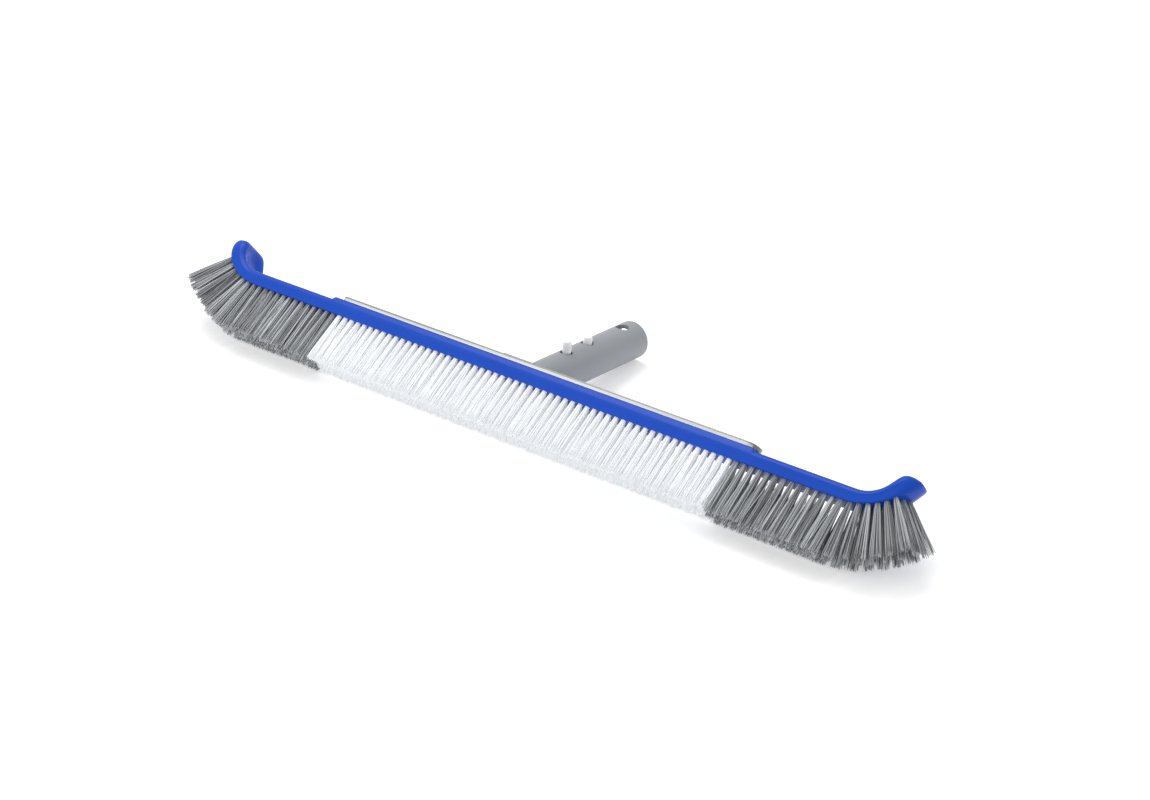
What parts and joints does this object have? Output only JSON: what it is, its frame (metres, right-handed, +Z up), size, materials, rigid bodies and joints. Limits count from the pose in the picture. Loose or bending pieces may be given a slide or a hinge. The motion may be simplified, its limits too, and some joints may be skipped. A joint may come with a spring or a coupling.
{
  "type": "pool wall brush",
  "caption": "Wide pool wall brush: moulded block with curled dished ends, bristle rows, metal backing strip and an angled tube socket with a sprung snap-pin clip.",
  "frame": {"origin": "centre of the footprint, on the surface that the brush lies on", "axes": "+X along the block, +Y from the bristles to the open end of the tube, +Z up; the brush lies on its rear bristle tips and the end of its tube"},
  "size_m": [0.6542, 0.1704, 0.0555],
  "materials": {
    "blue_plastic": "semi-gloss moulded",
    "grey_plastic": "satin moulded",
    "clip_nylon": "natural nylon",
    "aluminium": "polished",
    "screw_steel": "bright",
    "grey_bristle": "fine nylon filament",
    "white_bristle": "fine nylon filament",
    "anchor_wire": "drawn wire"
  },
  "bodies": {
    "brush": {"brush_block": "blue_plastic", "backing_strip": "aluminium", "pole_socket": "grey_plastic", "clip_spring": "clip_nylon", "socket_screws": "screw_steel", "strip_rivets": "aluminium", "grey_left_front": "grey_bristle", "grey_left_middle": "grey_bristle", "grey_left_rear": "grey_bristle", "white_front": "white_bristle", "white_middle": "white_bristle", "white_rear": "white_bristle", "grey_right_front": "grey_bristle", "grey_right_middle": "grey_bristle", "grey_right_rear": "grey_bristle", "anchors_front": "anchor_wire", "anchors_middle": "anchor_wire", "anchors_rear": "anchor_wire"},
    "clip lever": {"clip_lever": "clip_nylon"}
  },
  "joints": [
    {"name": "clip_press", "type": "hinge", "parent": "brush", "child": "clip lever", "pos_m": [0, 0.06024, 0.02367], "axis": [1, 0, 0], "range_deg": [0, 8.24], "stiffness_Nm_per_rad": 3}
  ]
}
